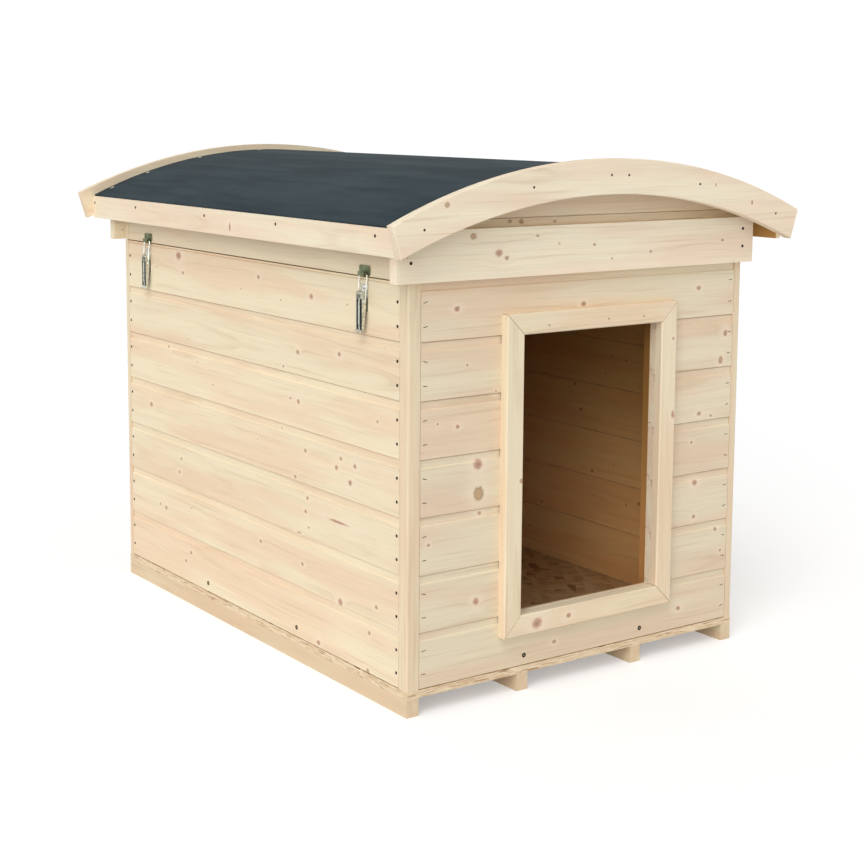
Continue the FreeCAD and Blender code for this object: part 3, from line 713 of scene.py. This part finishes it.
SHEET = 1.5 * MM                      # the latches' and hinges' plates
LATCH_SCREW_MARGIN = 5 * MM           # from a plate's upper or lower edge
KEEPER_SCREW_REACH = 11.4 * MM        # either way from a keeper's middle
HINGE_SCREW_REACH = 21 * MM
HINGE_SCREW_DROP = 19.5 * MM          # from the hinge's axis


def add_hardware_screws(bright, green):
    domed = crossed(head_mesh(*DOMED_SCREW), *DOMED_CROSS)
    keeper_screw = crossed(head_mesh(*KEEPER_SCREW), *KEEPER_CROSS)
    plate_left, plate_right = wall_left - SHEET, wall_right + SHEET
    low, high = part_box("latch_bases")
    spots = [(plate_left, y, z) for y in latch_places
             for z in (low.z + LATCH_SCREW_MARGIN, high.z - LATCH_SCREW_MARGIN)]
    group("screws_latch_bases", domed, spots, (-1, 0, 0), bright, "house", spin=1.0)
    axis_z = (wall_top + lid_bottom) / 2
    for name, body, direction in (("wall", "house", -1), ("lid", "roof", 1)):
        spots = [(plate_right, y + side * HINGE_SCREW_REACH, axis_z + direction * HINGE_SCREW_DROP)
                 for y in latch_places for side in (-1, 1)]
        group("screws_hinges_" + name, domed, spots, (1, 0, 0), bright, body, spin=1.0)
    # Low heads, because the bails swing past them
    keeper_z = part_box("latch_keepers")[1].z - LATCH_SCREW_MARGIN
    spots = [(plate_left, y + side * KEEPER_SCREW_REACH, keeper_z) for y in latch_places for side in (-1, 1)]
    group("screws_keepers", keeper_screw, spots, (-1, 0, 0), green, "roof", spin=1.0)


# ---- stage ----

CAMERA_PLACE = (-1.727, -2.491, 0.926)
CAMERA_YAW = 35.46
CAMERA_PITCH = 7.57
CAMERA_ROLL = 0.39
CAMERA_SHIFT = -0.12
FOCAL_PIXELS = 1650.0       # the focal length, where the picture is FRAME_PIXELS wide
FRAME_PIXELS = 867.0
SENSOR = 36.0
LAMPS = {                   # towards the lamp, energy, and how wide it looks in degrees
    "key": ((-0.47, -0.36, 0.80), 0.94, 35),
    "low_fill": ((-0.75, -0.59, 0.30), 1.10, 40),
}
SKY_STRENGTH = 0.51
WHITE = (1.0, 1.0, 1.0, 1.0)
FLOOR_HALF = 30.0
FLOOR_GREY = (0.80, 0.80, 0.80, 1.0)
FLOOR_GLOW = 0.34           # lifts the floor to white for the camera alone, and keeps its shadows


def set_camera():
    data = bpy.data.cameras.new("camera")
    data.sensor_width = SENSOR
    data.lens = FOCAL_PIXELS / FRAME_PIXELS * SENSOR
    data.shift_y = CAMERA_SHIFT
    data.clip_end = 100.0
    camera = bpy.data.objects.new("camera", data)
    bpy.context.scene.collection.objects.link(camera)
    turn = (Matrix.Rotation(math.radians(-CAMERA_YAW), 4, "Z")
            @ Matrix.Rotation(math.radians(90 - CAMERA_PITCH), 4, "X")
            @ Matrix.Rotation(math.radians(CAMERA_ROLL), 4, "Z"))
    camera.matrix_world = Matrix.Translation(CAMERA_PLACE) @ turn
    bpy.context.scene.camera = camera


def light_stage():
    for name, (towards, energy, width) in LAMPS.items():
        data = bpy.data.lights.new(name, "SUN")
        data.energy = energy
        data.angle = math.radians(width)
        lamp = bpy.data.objects.new(name, data)
        lamp.rotation_euler = Vector(towards).to_track_quat("Z", "Y").to_euler()
        bpy.context.scene.collection.objects.link(lamp)

    world = bpy.data.worlds.new("studio")
    bpy.context.scene.world = world
    world.use_nodes = True
    tree = world.node_tree
    tree.nodes.clear()
    path = tree.nodes.new("ShaderNodeLightPath")
    seen = path.outputs["Is Camera Ray"]
    for ray in ("Is Glossy Ray", "Is Transmission Ray"):
        either = tree.nodes.new("ShaderNodeMath")
        either.operation = "MAXIMUM"
        tree.links.new(seen, either.inputs[0])
        tree.links.new(path.outputs[ray], either.inputs[1])
        seen = either.outputs[0]
    fill = tree.nodes.new("ShaderNodeBackground")
    fill.inputs["Color"].default_value = WHITE
    fill.inputs["Strength"].default_value = SKY_STRENGTH
    white = tree.nodes.new("ShaderNodeBackground")
    white.inputs["Color"].default_value = WHITE
    pick = tree.nodes.new("ShaderNodeMixShader")
    tree.links.new(seen, pick.inputs[0])
    tree.links.new(fill.outputs[0], pick.inputs[1])
    tree.links.new(white.outputs[0], pick.inputs[2])
    output = tree.nodes.new("ShaderNodeOutputWorld")
    tree.links.new(pick.outputs[0], output.inputs[0])


def lay_floor():
    corners = [(x * FLOOR_HALF, y * FLOOR_HALF, 0) for x, y in ((-1, -1), (1, -1), (1, 1), (-1, 1))]
    mesh = bpy.data.meshes.new("floor")
    mesh.from_pydata(corners, [], [(0, 1, 2, 3)])
    recipe = Recipe("floor")
    seen = recipe.add("LightPath").outputs["Is Camera Ray"]
    glow = recipe.math("MULTIPLY", seen, FLOOR_GLOW)
    matt = recipe.add("BsdfDiffuse", {"Color": FLOOR_GREY})
    lamp = recipe.add("Emission", {"Color": WHITE, "Strength": glow})
    both = recipe.add("AddShader", {0: matt.outputs[0], 1: lamp.outputs[0]})
    output = recipe.add("OutputMaterial")
    recipe.tree.links.new(both.outputs[0], output.inputs[0])
    mesh.materials.append(recipe.material)
    floor = bpy.data.objects.new("floor", mesh)
    bpy.context.scene.collection.objects.link(floor)


set_camera()
light_stage()
lay_floor()
finish_walls()
finish_frame_and_roof()
paint(["floor_panel"], strand_board("strand_board"))
paint(["roof_deck"], veneer("veneer"))
paint(["roof_felt"], felt("felt"))
zinc = plated_steel("zinc", (0.66, 0.67, 0.58), (0.84, 0.84, 0.78))
paint([name for name in nodes if name.startswith(("latch_", "hinge_"))], zinc)
for end in ("front", "back"):
    paint(["latch_lever_" + end], lever_steel("lever_" + end, "latch_lever_" + end))
green_zinc = plated_steel("passivated_zinc", (0.13, 0.16, 0.085), (0.27, 0.31, 0.18), roughness=0.42)
paint(["latch_keepers"], green_zinc)

# Nail heads painted near black: dark steel, with painted shade of the sunk nail holes
nail_steel_and_hole_shade = plated_steel("nail_steel_and_hole_shade", (0.035, 0.028, 0.018), (0.075, 0.06, 0.04), roughness=0.6)
staple_steel = plated_steel("staple_steel", (0.10, 0.075, 0.05), (0.22, 0.17, 0.12), roughness=0.6)
screw_green = plated_steel("screw_green", (0.16, 0.19, 0.11), (0.30, 0.34, 0.21), roughness=0.42)
screw_zinc = plated_steel("screw_zinc", (0.55, 0.54, 0.48), (0.78, 0.77, 0.72))
add_wall_fasteners(nail_steel_and_hole_shade, staple_steel)
add_felt_nails(screw_zinc)
add_hardware_screws(screw_zinc, screw_green)

bpy.context.scene.view_settings.view_transform = "Standard"
